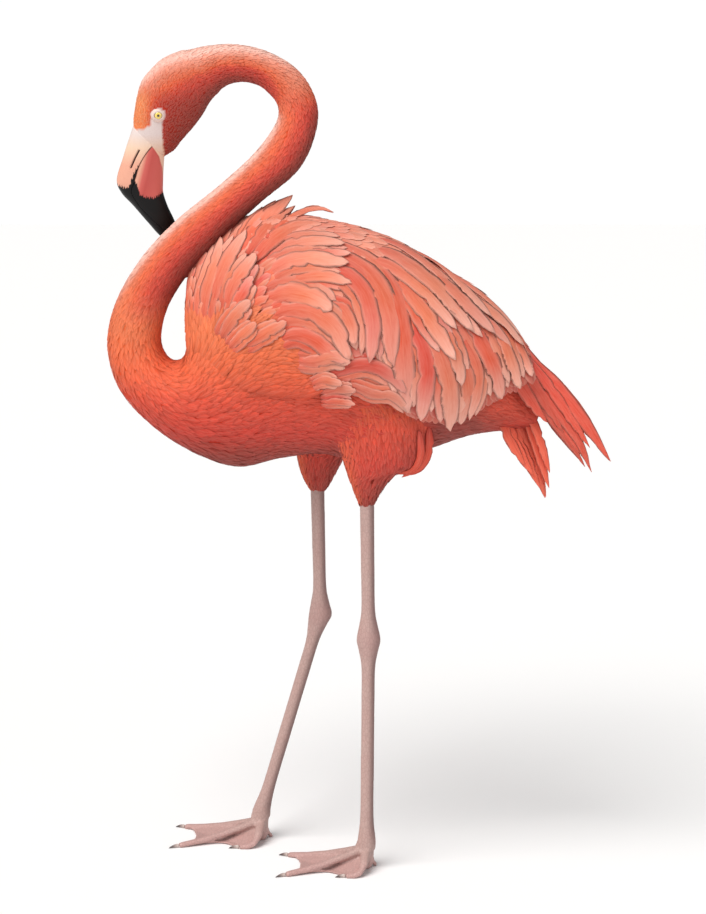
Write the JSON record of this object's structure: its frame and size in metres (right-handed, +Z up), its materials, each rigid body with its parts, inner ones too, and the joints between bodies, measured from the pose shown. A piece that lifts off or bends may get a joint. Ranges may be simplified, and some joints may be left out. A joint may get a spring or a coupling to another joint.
{
  "type": "flamingo",
  "caption": "Life-size standing flamingo, a still bird model: S-curved neck, bent bill held beside the neck, folded wings, long bare legs and webbed feet.",
  "frame": {"origin": "on the ground under the middle of the bird's box", "axes": "+Z up, the bird faces -X, its left side is towards -Y"},
  "size_m": [0.733, 0.263, 1.1926],
  "materials": {
    "neck_feathers": "short soft feathers, coral red",
    "body_feathers": "close-lying contour feathers, orange red",
    "mantle_feathers": "loose ruffled plumes, salmon",
    "wing_feathers": "long smooth vanes, salmon pink",
    "tail_feathers": "stiff vanes, red",
    "leg_skin": "scaly skin, greyish pink",
    "claw_horn": "pale horn, dark tips",
    "bill_horn": "satin horn, pale to pink with a black tip",
    "eye": "wet and glossy, yellow iris"
  },
  "bodies": {
    "root": {"head": "neck_feathers", "eye_left": "eye", "eye_right": "eye", "bill_upper": "bill_horn", "bill_lower": "bill_horn", "neck_1": "neck_feathers", "neck_2": "neck_feathers", "neck_3": "neck_feathers", "neck_4": "neck_feathers", "neck_5": "neck_feathers", "trunk": "body_feathers", "mantle": "mantle_feathers", "wing_left": "wing_feathers", "wing_right": "wing_feathers", "wing_tip_left": "tail_feathers", "wing_tip_right": "tail_feathers", "tail": "tail_feathers", "thigh_left": "body_feathers", "shank_left": "leg_skin", "hock_left": "leg_skin", "tarsus_left": "leg_skin", "foot_left": "leg_skin", "claw_inner_left": "claw_horn", "claw_middle_left": "claw_horn", "claw_outer_left": "claw_horn", "thigh_right": "body_feathers", "shank_right": "leg_skin", "hock_right": "leg_skin", "tarsus_right": "leg_skin", "foot_right": "leg_skin", "claw_inner_right": "claw_horn", "claw_middle_right": "claw_horn", "claw_outer_right": "claw_horn"}
  },
  "joints": []
}
